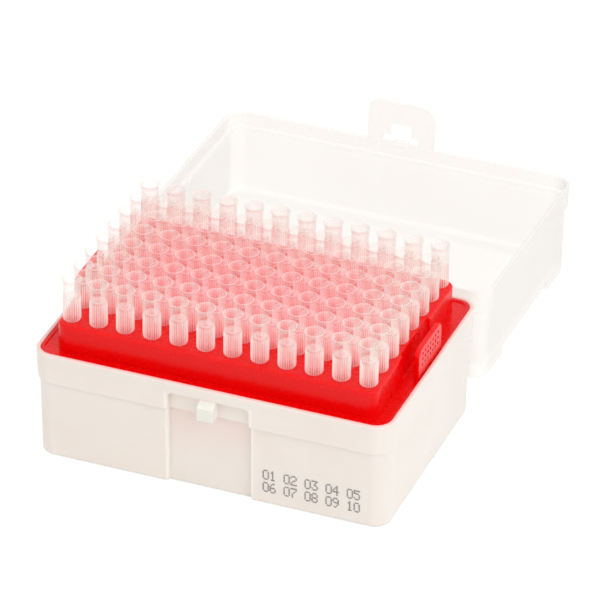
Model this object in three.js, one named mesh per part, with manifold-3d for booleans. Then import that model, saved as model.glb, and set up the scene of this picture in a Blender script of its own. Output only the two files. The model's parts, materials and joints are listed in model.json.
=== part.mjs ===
// A hinged box of pipette tips: base, rack, 96 tips on the standard plate grid, and a lid with a snap tab.
// Millimetres. X to the right, Y to the back, Z up; the origin is the centre of the base's underside.
// The lid is modelled closed about its hinge axis, then swung open against its stop.

import * as THREE from 'three';
import { mergeVertices } from 'three/addons/utils/BufferGeometryUtils.js';
import Module from 'manifold-3d';

// ---------------------------------------------------------------- driving dimensions

// Clearances
const seatGap = 0.3; // between pieces that rest on or in each other
const hingeGap = 0.3; // around the hinge's moving faces

// Tip grid
const tipColumns = 12;
const tipRows = 8;
const tipPitch = 9;

// Tip
const tipAboveDeck = 15;
const tipLength = 32;
const coneRadius = 1.9;
const ribRadius = coneRadius + 1.02; // its foot stands on the deck round the hole
const footRounding = 0.6;
const cupHeight = 6.2;
const cupTaper = 1.7;
const rimRadius = ribRadius + 0.38;
const rimThickness = 0.6;
const cupFloorRadius = ribRadius - 0.42;
const boreRadius = 0.9;
const nozzleRadius = 0.35;
const nozzleBoreRadius = 0.2;
const tipSides = 8;

// Rib that joins a pair of tips under the deck
const linkHeight = 1.4;
const linkWidth = 1;
const linkDrop = 0.9;

// Rack
const deckMarginX = ribRadius + 1.08;
const deckMarginY = ribRadius + 1.28;
const deckAboveRim = 8.6;
const deckThickness = 1.5;
const rackHeight = 36.3;
const rackWall = 1.2;
const rackCorner = 3.5;
const holeClearance = 0.3;
const holeDepth = 5;
const holeSides = 8;
const flangeWidthX = 4.75;
const flangeWidthY = 3.9;
const flangeThickness = 1.5;
const flangeCorner = 5;
const lipHeight = 0.8;
const lipWidth = 0.9;
const lipGapLength = 35;
const fingerTabLength = 20.4;
const fingerTabThickness = 1.7;
const fingerTabInset = 0.35;
const fingerTabCorner = 2.2;
const thumbReliefLength = 24;
const thumbReliefDepth = 1;

// Base
const baseHeight = 38.25;
const baseWall = 1.5;
const rimWall = 1.3;
const floorThickness = 1.6;
const baseCorner = 6.5;
const footRadius = 0.5;
const collarHeight = 10.8;
const collarDraft = { x: 0.19, y: 0.54 };
const collarStep = { x: 0.66, y: 0.96 };
const bodyDraft = { x: 0.3, y: 0.6 };
const footNotchLength = 10;
const footNotchHeight = 1;

// Latch: a recess and a lug on the base's front, a tab with a window on the lid
const recessHalfWidth = 14.1;
const recessBandInset = 0.5;
const recessDepth = 2.2;
const recessDrop = 4;
const recessCorner = 1.8;
const recessWall = 1.2;
const latchTabWidth = 23.9;
const latchTabLength = 15;
const latchTabCorner = 5;
const lugWidth = 5.3;
const lugHeight = 5.4;
const lugProud = 0.85;
const lugRamp = 1.2;
const lugClearance = 0.3; // above and below it in the tab's window
const lugSideClearance = 1.1;
const windowBumpWidth = 5;
const windowBumpHeight = 0.8;
const windowUpperWidth = 12.5;
const windowUpperDepth = 2.5;
const windowLowerWidth = lugWidth + 2 * lugSideClearance;
const windowDepth = lugHeight + windowBumpHeight + 2 * lugClearance;

// Lid
const lidOverlap = 3.75;
const lidGapX = 0.2;
const lidGapY = 0.45;
const lidCollarWall = 1.1;
const lidCollarHeight = 8.3;
const lidCollarStep = 1.08;
const lidLedge = lidOverlap + 1.15; // its step stays above the base's rim
const lidWall = 1.2;
const lidPlate = 1.3;
const lidCorner = 7;
const lidLeadIn = 0.5;
const tipHeadroom = 1.15;
const ridgeHeight = 3.1;
const ridgeWall = 1.3;
const ridgeGapLength = 45;
const nubWidth = 3;
const nubHeight = 2.7;
const nubDepth = 0.45;

// Hinge
const hingeStation = 36;
const hingeOut = 3;
const hingeDrop = lidOverlap - 1.75; // the axis keeps its height above the lid's rim
const hingeSides = 16;
const barrelWidth = 8;
const barrelRadius = 2;
const armRise = 1.7;
const pinRadius = 1.1;
const pinLength = 2.3;
const earThickness = 2.5;
const earRadius = barrelRadius + 0.2; // the stop under it clears the barrel too
const stopDepth = 2.5;
const openAngle = THREE.MathUtils.degToRad(181.92);

// ---------------------------------------------------------------- derived dimensions

const deckHalf = {
  x: (tipColumns - 1) * tipPitch / 2 + deckMarginX,
  y: (tipRows - 1) * tipPitch / 2 + deckMarginY,
};
const flangeHalf = { x: deckHalf.x + flangeWidthX, y: deckHalf.y + flangeWidthY };
const rebateHalf = { x: flangeHalf.x + seatGap, y: flangeHalf.y + seatGap };
const rimHalf = { x: rebateHalf.x + rimWall, y: rebateHalf.y + rimWall };
const collarFootHalf = { x: rimHalf.x - collarDraft.x, y: rimHalf.y - collarDraft.y };
const bodyTopHalf = { x: collarFootHalf.x - collarStep.x, y: collarFootHalf.y - collarStep.y };
const bodyFootHalf = { x: bodyTopHalf.x - bodyDraft.x, y: bodyTopHalf.y - bodyDraft.y };
const bodyCorner = baseCorner - collarDraft.x - collarStep.x;

const collarFootZ = baseHeight - collarHeight;
const deckTop = baseHeight + deckAboveRim;
const flangeTop = baseHeight - lipHeight;
const flangeBottom = flangeTop - flangeThickness;
const ledgeZ = flangeBottom - seatGap;
const rackBottom = deckTop - rackHeight;
const tipTop = deckTop + tipAboveDeck;

const lidRimZ = baseHeight - lidOverlap;
const lidRimHalf = { x: rimHalf.x + lidGapX, y: rimHalf.y + lidGapY };
const lidOuterHalf = { x: lidRimHalf.x + lidCollarWall, y: lidRimHalf.y + lidCollarWall };
const lidBodyHalf = { x: lidOuterHalf.x - lidCollarStep, y: lidOuterHalf.y - lidCollarStep };
const lidInnerHalf = { x: lidBodyHalf.x - lidWall, y: lidBodyHalf.y - lidWall };
const lidBodyCorner = lidCorner - lidCollarStep;
const lidPlateInner = tipTop + tipHeadroom;
const lidPlateOuter = lidPlateInner + lidPlate;
const ridgeTop = lidPlateOuter + ridgeHeight;

const hingeY = rimHalf.y + hingeOut;
const hingeZ = baseHeight - hingeDrop;
const earOffset = barrelWidth / 2 + hingeGap + earThickness / 2;

// ---------------------------------------------------------------- solid helpers

const wasm = await Module();
wasm.setup();

function solidFrom(geometry) {
  geometry.deleteAttribute('normal');
  geometry.deleteAttribute('uv');
  const welded = mergeVertices(geometry, 1e-4);
  const mesh = new wasm.Mesh({
    numProp: 3,
    vertProperties: new Float32Array(welded.attributes.position.array),
    triVerts: new Uint32Array(welded.index.array),
  });
  return new wasm.Manifold(mesh);
}

function geometryFrom(solid) {
  const mesh = solid.getMesh();
  const geometry = new THREE.BufferGeometry();
  geometry.setAttribute('position', new THREE.BufferAttribute(mesh.vertProperties, 3));
  geometry.setIndex(new THREE.BufferAttribute(mesh.triVerts, 1));
  geometry.computeVertexNormals();
  return geometry;
}

function join(solids) {
  return solids.reduce((whole, solid) => whole.add(solid));
}

function cut(solid, tools) {
  return tools.reduce((whole, tool) => whole.subtract(tool), solid);
}

function box(low, high) {
  const size = [0, 1, 2].map((axis) => high[axis] - low[axis]);
  const middle = [0, 1, 2].map((axis) => (high[axis] + low[axis]) / 2);
  return solidFrom(new THREE.BoxGeometry(...size).translate(...middle));
}

// A box and its mirror image across the YZ plane.
function boxPair(low, high) {
  const mirrored = box([-high[0], low[1], low[2]], [-low[0], high[1], high[2]]);
  return [box(low, high), mirrored];
}

function roundedRectangle(half, radius) {
  const x = half.x - radius;
  const y = half.y - radius;
  const shape = new THREE.Shape();
  shape.absarc(x, -y, radius, -Math.PI / 2, 0);
  shape.absarc(x, y, radius, 0, Math.PI / 2);
  shape.absarc(-x, y, radius, Math.PI / 2, Math.PI);
  shape.absarc(-x, -y, radius, Math.PI, 3 * Math.PI / 2);
  shape.closePath();
  return shape;
}

// An upright block with rounded corners, drafted from its foot's size to its top's size.
function block(foot, top, corner, z0, z1) {
  const shape = roundedRectangle(foot, corner);
  const geometry = new THREE.ExtrudeGeometry(shape, {
    depth: z1 - z0,
    bevelEnabled: false,
    curveSegments: 3,
  });
  const position = geometry.attributes.position;
  for (let i = 0; i < position.count; i += 1) {
    const rise = position.getZ(i) / (z1 - z0);
    const x = position.getX(i);
    const y = position.getY(i);
    position.setX(i, x + Math.sign(x) * rise * (top.x - foot.x));
    position.setY(i, y + Math.sign(y) * rise * (top.y - foot.y));
  }
  return solidFrom(geometry.translate(0, 0, z0));
}

function straightBlock(half, corner, z0, z1) {
  return block(half, half, corner, z0, z1);
}

// A shape drawn in X and Z, as thick as y0 to y1.
function wallPlate(shape, y0, y1) {
  const geometry = new THREE.ExtrudeGeometry(shape, {
    depth: y1 - y0,
    bevelEnabled: false,
    curveSegments: 3,
  });
  return solidFrom(geometry.rotateX(Math.PI / 2).translate(0, y1, 0));
}

// A shape drawn in Y and Z, as long as x0 to x1.
function crossPlate(shape, x0, x1) {
  const geometry = new THREE.ExtrudeGeometry(shape, {
    depth: x1 - x0,
    bevelEnabled: false,
    curveSegments: 6,
  });
  geometry.rotateX(Math.PI / 2);
  geometry.rotateZ(Math.PI / 2);
  return solidFrom(geometry.translate(x0, 0, 0));
}

function polygon(points) {
  return new THREE.Shape(points.map(([u, v]) => new THREE.Vector2(u, v)));
}

function rodAlongX(radius, x0, x1, y, z) {
  const geometry = new THREE.CylinderGeometry(radius, radius, x1 - x0, hingeSides);
  geometry.rotateZ(Math.PI / 2);
  return solidFrom(geometry.translate((x0 + x1) / 2, y, z));
}

// An upright panel outline with its two upper corners rounded; sign -1 rounds the lower ones.
function panelShape(halfWidth, rootZ, endZ, corner) {
  const turn = Math.sign(endZ - rootZ);
  const shape = new THREE.Shape();
  shape.moveTo(-halfWidth, rootZ);
  shape.lineTo(halfWidth, rootZ);
  shape.lineTo(halfWidth, endZ - turn * corner);
  shape.absarc(halfWidth - corner, endZ - turn * corner, corner, 0, turn * Math.PI / 2, turn < 0);
  shape.absarc(corner - halfWidth, endZ - turn * corner, corner, turn * Math.PI / 2, turn * Math.PI, turn < 0);
  shape.closePath();
  return shape;
}

// ---------------------------------------------------------------- tips

function tipCentre(column, row) {
  return {
    x: (column - (tipColumns - 1) / 2) * tipPitch,
    y: (row - (tipRows - 1) / 2) * tipPitch,
  };
}

// A cup that flares to its rim, a barrel that stands on the deck, and a cone through the deck's hole.
function tipSolid(x) {
  const ribFoot = deckTop + seatGap;
  const profile = [
    [nozzleRadius, tipTop - tipLength],
    [coneRadius, ribFoot],
    [ribRadius - footRounding, ribFoot],
    [ribRadius, ribFoot + footRounding],
    [ribRadius, tipTop - cupTaper],
    [rimRadius, tipTop],
    [rimRadius - rimThickness, tipTop],
    [cupFloorRadius, tipTop - cupHeight],
    [boreRadius, tipTop - cupHeight],
    [nozzleBoreRadius, tipTop - tipLength],
    [nozzleRadius, tipTop - tipLength],
  ];
  const points = profile.map(([radius, z]) => new THREE.Vector2(radius, z));
  const geometry = new THREE.LatheGeometry(points, tipSides);
  return solidFrom(geometry.rotateX(Math.PI / 2).translate(x, 0, 0));
}

// Two neighbouring tips with a small rib between their cones, hidden under the deck.
function tipPairGeometry() {
  const linkTop = deckTop - deckThickness - linkDrop;
  const coneTaper = (coneRadius - nozzleRadius) / (tipLength - tipAboveDeck + seatGap);
  const linkEnd = coneRadius - coneTaper * (deckTop - linkTop + linkHeight) - seatGap;
  const reach = tipPitch / 2 - linkEnd;
  const link = box(
    [-reach, -linkWidth / 2, linkTop - linkHeight],
    [reach, linkWidth / 2, linkTop],
  );
  return geometryFrom(join([tipSolid(-tipPitch / 2), tipSolid(tipPitch / 2), link]));
}

// ---------------------------------------------------------------- rack

// The holes run down past the deck, so that the relief walls clear the end tips too.
function deckHoles() {
  const radius = coneRadius + holeClearance;
  const length = holeDepth + deckThickness;
  const holes = [];
  for (let column = 0; column < tipColumns; column += 1) {
    for (let row = 0; row < tipRows; row += 1) {
      const centre = tipCentre(column, row);
      const geometry = new THREE.CylinderGeometry(radius, radius, length, holeSides);
      geometry.rotateX(Math.PI / 2);
      holes.push(solidFrom(geometry.translate(centre.x, centre.y, deckTop + deckThickness - length / 2)));
    }
  }
  return join(holes);
}

// The flange's raised edge, left out in the middle of the front.
function flangeLip() {
  const innerHalf = { x: flangeHalf.x - lipWidth, y: flangeHalf.y - lipWidth };
  const ring = cut(straightBlock(flangeHalf, flangeCorner, flangeTop - lipHeight / 2, flangeTop + lipHeight), [
    straightBlock(innerHalf, flangeCorner - lipWidth, flangeTop - lipHeight, flangeTop + 2 * lipHeight),
  ]);
  return cut(ring, [box(
    [-lipGapLength / 2, -flangeHalf.y - lipWidth, flangeTop],
    [lipGapLength / 2, 0, flangeTop + 2 * lipHeight],
  )]);
}

function fingerTabs() {
  const outline = panelShape(fingerTabLength / 2, flangeTop - flangeThickness / 2, deckTop, fingerTabCorner);
  const outer = flangeHalf.x - fingerTabInset;
  const inner = outer - fingerTabThickness;
  return join([crossPlate(outline, inner, outer), crossPlate(outline, -outer, -inner)]);
}

function rackGeometry() {
  const innerHalf = { x: deckHalf.x - rackWall, y: deckHalf.y - rackWall };
  const reliefX = deckHalf.x - thumbReliefDepth;
  const shell = join([
    straightBlock(deckHalf, rackCorner, rackBottom, deckTop),
    straightBlock(flangeHalf, flangeCorner, flangeBottom, flangeTop),
    flangeLip(),
    fingerTabs(),
  ]);
  const cavity = cut(
    straightBlock(innerHalf, rackCorner - rackWall, rackBottom - rackWall, deckTop - deckThickness),
    boxPair(
      [reliefX - rackWall, -thumbReliefLength / 2 - rackWall, flangeBottom],
      [deckHalf.x, thumbReliefLength / 2 + rackWall, deckTop],
    ),
  );
  const thumbReliefs = boxPair(
    [reliefX, -thumbReliefLength / 2, flangeTop],
    [flangeHalf.x - fingerTabInset - fingerTabThickness, thumbReliefLength / 2, deckTop + deckThickness],
  );
  return geometryFrom(cut(shell, [cavity, ...thumbReliefs, deckHoles()]));
}

// ---------------------------------------------------------------- base

// A tray of one body with a collar round its rim; the rack's flange sits in the rim's rebate.
function traySolid() {
  const cavityTopHalf = { x: bodyTopHalf.x - baseWall, y: bodyTopHalf.y - baseWall };
  const cavityFootHalf = { x: bodyFootHalf.x - baseWall, y: bodyFootHalf.y - baseWall };
  const footHalf = { x: bodyFootHalf.x - footRadius, y: bodyFootHalf.y - footRadius };
  const shell = join([
    block(footHalf, bodyFootHalf, bodyCorner, 0, footRadius),
    block(bodyFootHalf, bodyTopHalf, bodyCorner, footRadius, collarFootZ),
    block(collarFootHalf, rimHalf, baseCorner, collarFootZ, baseHeight),
  ]);
  return cut(shell, [
    block(cavityFootHalf, cavityTopHalf, bodyCorner - baseWall, floorThickness, baseHeight),
    straightBlock(rebateHalf, flangeCorner + seatGap, ledgeZ, baseHeight + rimWall),
  ]);
}

// The front wall steps back behind the lid's tab, from under the rim down to the foot.
function withFrontRecess(tray) {
  const bandY = -(collarFootHalf.y - recessDepth);
  const panelY = -(bodyTopHalf.y - recessDepth);
  const outside = -rimHalf.y - recessDepth;
  const backing = box(
    [-recessHalfWidth - baseWall, -bodyFootHalf.y + footRadius, floorThickness / 2],
    [recessHalfWidth + baseWall, panelY + recessWall, baseHeight - recessDrop + seatGap],
  );
  const bandShape = panelShape(
    recessHalfWidth - recessBandInset,
    collarFootZ,
    baseHeight - recessDrop,
    recessCorner,
  );
  const panel = box([-recessHalfWidth, outside, -footRadius], [recessHalfWidth, panelY, collarFootZ]);
  return cut(join([tray, backing]), [wallPlate(bandShape, outside, bandY), panel]);
}

function latchLug() {
  const bottom = lidRimZ - windowDepth + lugClearance;
  const top = bottom + lugHeight;
  const front = -(lidOuterHalf.y + lugProud);
  const root = -(collarFootHalf.y - recessDepth - recessWall / 2);
  const profile = polygon([
    [root, bottom],
    [root, top],
    [front + lugRamp, top],
    [front, top - lugRamp / 2],
    [front, bottom],
  ]);
  return crossPlate(profile, -lugWidth / 2, lugWidth / 2);
}

// Two ears with pin holes, and between them the stop that the opened lid rests on.
function hingeBracket(station) {
  const lean = openAngle - Math.PI;
  const root = rimHalf.y - rimWall / 2;
  const stopTop = hingeZ - earRadius - hingeGap / 2;
  const wallOffset = hingeY - lidOuterHalf.y;
  const stopReach = wallOffset * Math.cos(lean) - (earRadius + stopDepth) * Math.sin(lean) - hingeGap;
  const ears = [-earOffset, earOffset].map((offset) => {
    const x0 = station + offset - earThickness / 2;
    const x1 = x0 + earThickness;
    const eye = rodAlongX(earRadius, x0, x1, hingeY, hingeZ);
    const plate = box([x0, root, stopTop - stopDepth], [x1, hingeY, baseHeight - hingeGap]);
    const heel = box([x0, root, stopTop - stopDepth], [x1, hingeY + stopReach, stopTop]);
    return join([eye, plate, heel]);
  });
  const stop = box(
    [station - earOffset, root, stopTop - stopDepth],
    [station + earOffset, hingeY + stopReach, stopTop],
  );
  const hole = rodAlongX(
    pinRadius + hingeGap,
    station - earOffset - earThickness,
    station + earOffset + earThickness,
    hingeY,
    hingeZ,
  );
  return cut(join([...ears, stop]), [hole]);
}

function baseGeometry() {
  const notches = boxPair(
    [bodyFootHalf.x - baseWall, -footNotchLength / 2, -footNotchHeight],
    [rimHalf.x, footNotchLength / 2, footNotchHeight],
  );
  const tray = cut(withFrontRecess(traySolid()), notches);
  return geometryFrom(join([tray, latchLug(), hingeBracket(-hingeStation), hingeBracket(hingeStation)]));
}

// ---------------------------------------------------------------- lid

// An upturned tray; its collar overlaps the base's rim, and the ridge on top holds the next box.
function lidShell() {
  const ledgeZClosed = lidRimZ + lidLedge;
  const leadInHalf = { x: lidRimHalf.x + lidLeadIn, y: lidRimHalf.y + lidLeadIn };
  const ridgeHalf = { x: lidBodyHalf.x - ridgeWall, y: lidBodyHalf.y - ridgeWall };
  const shell = join([
    straightBlock(lidOuterHalf, lidCorner, lidRimZ, lidRimZ + lidCollarHeight),
    straightBlock(lidBodyHalf, lidBodyCorner, lidRimZ + lidLedge, ridgeTop),
  ]);
  return cut(shell, [
    straightBlock(lidRimHalf, lidCorner - lidCollarWall, lidRimZ - lidLeadIn, ledgeZClosed),
    block(leadInHalf, lidRimHalf, lidCorner - lidCollarWall, lidRimZ, lidRimZ + lidLeadIn),
    straightBlock(lidInnerHalf, lidBodyCorner - lidWall, lidRimZ, lidPlateInner),
    straightBlock(ridgeHalf, lidBodyCorner - ridgeWall, lidPlateOuter, ridgeTop + lidPlate),
    ...boxPair(
      [lidBodyHalf.x - 2 * ridgeWall, -ridgeGapLength / 2, lidPlateOuter],
      [lidOuterHalf.x, ridgeGapLength / 2, ridgeTop + lidPlate],
    ),
  ]);
}

// Snap tab in the plane of the lid's collar, with a stepped window for the base's lug.
function latchTab() {
  const outer = -lidOuterHalf.y;
  const inner = -lidRimHalf.y;
  const outline = panelShape(
    latchTabWidth / 2,
    lidRimZ + lidLeadIn,
    lidRimZ - latchTabLength,
    latchTabCorner,
  );
  const plate = cut(wallPlate(outline, outer, inner), [
    box(
      [-windowUpperWidth / 2, outer - lidWall, lidRimZ - windowUpperDepth],
      [windowUpperWidth / 2, inner + lidWall, lidRimZ],
    ),
    box(
      [-windowLowerWidth / 2, outer - lidWall, lidRimZ - windowDepth],
      [windowLowerWidth / 2, inner + lidWall, lidRimZ],
    ),
  ]);
  const bump = box(
    [-windowBumpWidth / 2, outer, lidRimZ - windowBumpHeight],
    [windowBumpWidth / 2, inner, lidRimZ + lidLeadIn],
  );
  return join([plate, bump]);
}

// Small bumps inside the short walls that click over the rack's finger tabs.
function lidNubs() {
  const low = [lidInnerHalf.x - nubDepth, -nubWidth / 2, lidRimZ + lidLedge];
  const high = [lidInnerHalf.x + lidWall / 2, nubWidth / 2, lidRimZ + lidLedge + nubHeight];
  return boxPair(low, high);
}

function hingeBarrel(station) {
  const x0 = station - barrelWidth / 2;
  const x1 = station + barrelWidth / 2;
  const arm = box([x0, lidOuterHalf.y - lidCollarWall / 2, lidRimZ], [x1, hingeY, hingeZ + armRise]);
  return join([
    rodAlongX(barrelRadius, x0, x1, hingeY, hingeZ),
    rodAlongX(pinRadius, x0 - pinLength, x1 + pinLength, hingeY, hingeZ),
    arm,
  ]);
}

// Notches in the back skirt that the base's ears stand in.
function earNotches(station) {
  const top = hingeZ + earRadius + 4 * hingeGap;
  return [-earOffset, earOffset].map((offset) => box(
    [station + offset - earThickness / 2 - hingeGap, lidInnerHalf.y, lidRimZ - lidLeadIn],
    [station + offset + earThickness / 2 + hingeGap, lidOuterHalf.y + lidWall, top],
  ));
}

function lidGeometry() {
  const stations = [-hingeStation, hingeStation];
  const shell = cut(join([lidShell(), latchTab(), ...lidNubs()]), stations.flatMap(earNotches));
  const whole = join([shell, ...stations.map(hingeBarrel)]);
  return geometryFrom(whole).translate(0, -hingeY, -hingeZ);
}

// ---------------------------------------------------------------- scene graph

const whitePlastic = new THREE.MeshStandardMaterial({ color: 0xf0eae2, roughness: 0.45, metalness: 0 });
const redPlastic = new THREE.MeshStandardMaterial({ color: 0xd4141c, roughness: 0.3, metalness: 0 });
const frostedPlastic = new THREE.MeshStandardMaterial({ color: 0xf6f1ea, roughness: 0.4, metalness: 0 });
const clearPlastic = new THREE.MeshStandardMaterial({ color: 0xf7efec, roughness: 0.2, metalness: 0 });

function named(name, geometry, material) {
  const mesh = new THREE.Mesh(geometry, material);
  mesh.name = name;
  return mesh;
}

function addTips(group) {
  const geometry = tipPairGeometry();
  for (let row = 0; row < tipRows; row += 1) {
    const letter = 'abcdefgh'[row];
    for (let column = 0; column < tipColumns; column += 2) {
      const mesh = named(`tips_${letter}${column + 1}_${letter}${column + 2}`, geometry, clearPlastic);
      const centre = tipCentre(column + 0.5, row);
      mesh.position.set(centre.x, centre.y, 0);
      group.add(mesh);
    }
  }
}

const tipBox = new THREE.Group();
tipBox.add(named('base', baseGeometry(), whitePlastic));
tipBox.add(named('rack', rackGeometry(), redPlastic));
addTips(tipBox);

const lidPivot = new THREE.Group();
lidPivot.position.set(0, hingeY, hingeZ);
lidPivot.rotation.x = -openAngle;
lidPivot.add(named('lid', lidGeometry(), frostedPlastic));
tipBox.add(lidPivot);

export default tipBox;
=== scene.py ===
"""The looks of a hinged box of pipette tips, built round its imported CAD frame.

Sizes are in millimetres, and meshes are scaled to metres as they are made. Each piece stands where the frame
has it. The lid is modelled closed about its hinge axis and swung open, as the frame's lid is.
"""

import json
import math

import bmesh
import bpy
from mathutils import Matrix, Vector


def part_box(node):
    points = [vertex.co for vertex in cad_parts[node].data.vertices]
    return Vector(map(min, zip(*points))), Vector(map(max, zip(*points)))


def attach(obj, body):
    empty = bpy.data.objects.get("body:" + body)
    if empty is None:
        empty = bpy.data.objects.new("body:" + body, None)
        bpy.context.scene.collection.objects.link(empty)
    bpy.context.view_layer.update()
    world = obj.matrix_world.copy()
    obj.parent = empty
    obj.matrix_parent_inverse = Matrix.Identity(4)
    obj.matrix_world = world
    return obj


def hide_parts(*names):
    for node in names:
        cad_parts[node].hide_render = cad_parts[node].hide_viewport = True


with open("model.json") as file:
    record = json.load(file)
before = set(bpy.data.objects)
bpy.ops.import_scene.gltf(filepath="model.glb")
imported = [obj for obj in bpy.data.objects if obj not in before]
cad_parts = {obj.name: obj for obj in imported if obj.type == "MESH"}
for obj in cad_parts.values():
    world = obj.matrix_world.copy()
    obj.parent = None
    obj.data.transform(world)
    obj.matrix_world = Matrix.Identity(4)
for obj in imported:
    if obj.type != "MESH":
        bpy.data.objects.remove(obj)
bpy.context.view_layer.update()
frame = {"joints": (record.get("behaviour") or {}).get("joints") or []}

MM = 0.001


def box_mm(node):
    """Lowest and highest corner of a CAD node, in millimetres."""
    low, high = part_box(node)
    return low / MM, high / MM


# ------------------------------------------------------------ sizes from the frame

# Here and below, a pair is an outline's half sizes in X and Y.
rack_low, rack_high = box_mm("rack")
tip_low, tip_high = box_mm("tips_a1_a2")
hinge = frame["joints"][0]

RACK_FOOT = rack_low.z
DECK_TOP = rack_high.z
TIP_TOP = tip_high.z
TIP_BOTTOM = tip_low.z
FLANGE = (rack_high.x, rack_high.y)
HINGE_Y = hinge["pos_m"][1] / MM
HINGE_Z = hinge["pos_m"][2] / MM
OPEN_ANGLE = math.radians(hinge["range_deg"][1])

# ------------------------------------------------------------ sizes that the frame's pieces have too

SEAT_GAP = 0.3
HINGE_GAP = 0.3
TIP_COLUMNS = 12
TIP_ROWS = 8
PITCH = 9.0

RIM_TOP = DECK_TOP - 8.6
RIM_WALL = 1.3
REBATE = (FLANGE[0] + SEAT_GAP, FLANGE[1] + SEAT_GAP)
RIM = (REBATE[0] + RIM_WALL, REBATE[1] + RIM_WALL)
COLLAR_FOOT = (RIM[0] - 0.19, RIM[1] - 0.54)
COLLAR_FOOT_Z = RIM_TOP - 10.8
COLLAR_CORNER = 6.5
BODY_TOP = (COLLAR_FOOT[0] - 0.66, COLLAR_FOOT[1] - 0.96)
BODY_FOOT = (BODY_TOP[0] - 0.3, BODY_TOP[1] - 0.6)
BODY_CORNER = 5.65
BASE_WALL = 1.5
BASE_FLOOR = 1.6
FOOT_NOTCH_HALF = 5.0
FOOT_NOTCH_HEIGHT = 1.0

DECK = (FLANGE[0] - 4.75, FLANGE[1] - 3.9)
DECK_THICKNESS = 1.5
RACK_WALL = 1.2
RACK_CORNER = 3.5
FLANGE_TOP = RIM_TOP - 0.8
FLANGE_BOTTOM = FLANGE_TOP - 1.5
FLANGE_CORNER = 5.0
LEDGE_Z = FLANGE_BOTTOM - SEAT_GAP
LIP_WIDTH = 0.9
LIP_GAP = 35.0
HOLE_RADIUS = 2.2
SOCKET_DEPTH = 5.0
FINGER_TAB_LENGTH = 20.4
RELIEF_X = DECK[0] - 1.0
RELIEF_LENGTH = 24.0

RECESS_HALF = 14.1
RECESS_DEPTH = 2.2
RECESS_TOP = RIM_TOP - 4.0
RECESS_CORNER = 1.8
RECESS_WALL = 1.2
BAND_HALF = RECESS_HALF - 0.5
BAND_Y = -(COLLAR_FOOT[1] - RECESS_DEPTH)
PANEL_Y = -(BODY_TOP[1] - RECESS_DEPTH)

LID_RIM_Z = RIM_TOP - 3.75
LID_RIM = (RIM[0] + 0.2, RIM[1] + 0.45)
LID_RIM_CORNER = 5.9
LID_LEAD_IN = 0.5
LID_OUTER = (LID_RIM[0] + 1.1, LID_RIM[1] + 1.1)
LID_CORNER = 7.0
LID_BODY = (LID_OUTER[0] - 1.08, LID_OUTER[1] - 1.08)
LID_BODY_CORNER = 5.92
LID_INNER = (LID_BODY[0] - 1.2, LID_BODY[1] - 1.2)
LID_INNER_CORNER = 4.72
LID_COLLAR_TOP = LID_RIM_Z + 8.3
LID_LEDGE_Z = RIM_TOP + 1.15
LID_CEILING = TIP_TOP + 1.15
LID_PLATE_TOP = LID_CEILING + 1.3
RIDGE_TOP = LID_PLATE_TOP + 3.1
RIDGE_WALL = 1.3
RIDGE_GAP = 45.0
NUB_HALF = 1.5
NUB_HEIGHT = 2.7
NUB_DEPTH = 0.45

LATCH_TAB_HALF = 11.95
LATCH_TAB_LENGTH = 15.0
LATCH_TAB_CORNER = 5.0
WINDOW_UPPER_HALF = 6.25
WINDOW_UPPER_DEPTH = 2.5
WINDOW_LOWER_HALF = 3.75
WINDOW_DEPTH = 6.8
LUG_BOTTOM = LID_RIM_Z - 6.5
LUG_TOP = LUG_BOTTOM + 5.4
LUG_FRONT = -(LID_OUTER[1] + 0.85)
LUG_RAMP = 1.2

HINGE_STATIONS = (-36.0, 36.0)
BARREL_HALF = 4.0
BARREL_RADIUS = 2.0
ARM_RISE = 1.7
PIN_RADIUS = 1.1
PIN_LENGTH = 2.3
EAR_OFFSET = 5.55
EAR_THICKNESS = 2.5
EAR_RADIUS = 2.2
STOP_TOP = HINGE_Z - EAR_RADIUS - HINGE_GAP / 2
STOP_DEPTH = 2.5

# ------------------------------------------------------------ sizes that are only the visible pieces'

CORNER_STEPS = 12
FILLET_STEPS = 4
SMOOTH_ANGLE = math.radians(32)
BEVEL_ANGLE = math.radians(40)
MERGE_DISTANCE = 0.002

FLANGE_EXTRA = 0.22
LIP_HEIGHT = 0.4
DECK_SKIN = 0.3
SOCKET_WALL = 0.9
FINGER_TAB_OUT = FLANGE[0] - 0.1
FINGER_TAB_IN = FINGER_TAB_OUT - 1.7
FINGER_TAB_TOP = DECK_TOP + 1.2
FINGER_TAB_CORNER = 2.6
PIT_ROWS = 3
PIT_COLUMNS = 7
PIT_SPACING = 2.27
PIT_ROW_SPACING = 2.0
PIT_DROP = 2.2
PIT_RADIUS = 0.55
PIT_DEPTH = 0.8
LUG_HALF = 2.75
LEAD_IN_FLARE = 0.4
BUMP_HALF = 2.6
BUMP_PROUD = 0.5

# ------------------------------------------------------------ mesh helpers


def rounded_rectangle(half_x, half_y, corner, z):
    """Points anticlockwise round an upright form's outline at one height."""
    points = []
    for quarter, (side_x, side_y) in enumerate(((1, -1), (1, 1), (-1, 1), (-1, -1))):
        for step in range(CORNER_STEPS + 1):
            angle = math.pi / 2 * (quarter - 1 + step / CORNER_STEPS)
            x = side_x * (half_x - corner) + corner * math.cos(angle)
            y = side_y * (half_y - corner) + corner * math.sin(angle)
            points.append((x, y, z))
    return points


def level(half, corner, z, fillet=0.0):
    """One level of a loft: half sizes, corner radius, height, and the fillet at its edge."""
    return (half[0], half[1], corner, z, fillet)


def inset(half, distance):
    """Half sizes of the outline that lies a distance inside another."""
    return (half[0] - distance, half[1] - distance)


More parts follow.
